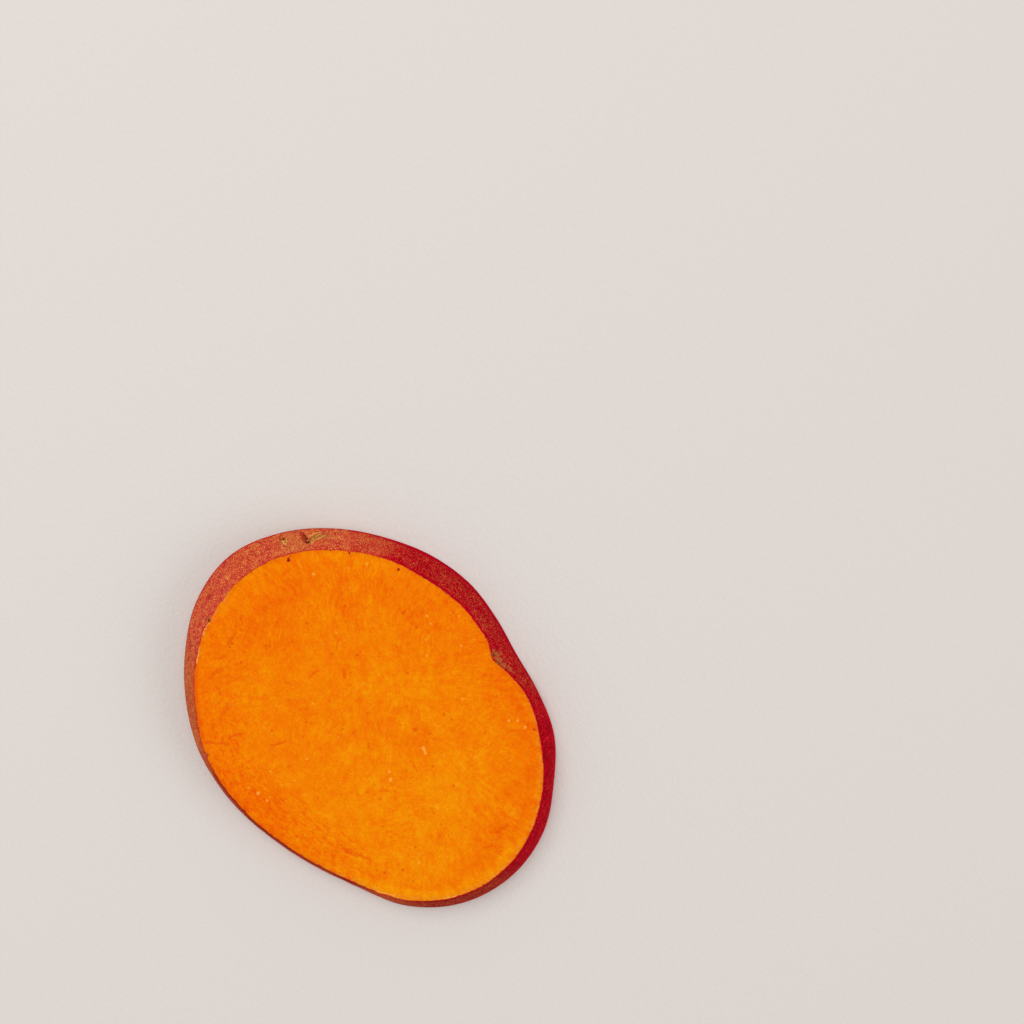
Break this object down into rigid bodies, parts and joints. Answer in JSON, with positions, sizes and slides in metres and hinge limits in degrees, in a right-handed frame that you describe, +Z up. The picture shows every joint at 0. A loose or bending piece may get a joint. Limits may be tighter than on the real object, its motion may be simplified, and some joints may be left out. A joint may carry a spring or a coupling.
{
  "type": "sweet potato slice",
  "caption": "Raw slice cut across an orange-fleshed sweet potato, skin left on, lying flat on its larger cut face.",
  "frame": {"origin": "on the surface it lies on, under the middle of its outline", "axes": "+X along the long axis of the oval, +Y across it towards the growth crease, +Z up through the thickness"},
  "size_m": [0.0806, 0.0608, 0.0063],
  "materials": {
    "flesh_and_skin": "satin"
  },
  "bodies": {
    "root": {"sweet_potato_slice": "flesh_and_skin"}
  },
  "joints": []
}
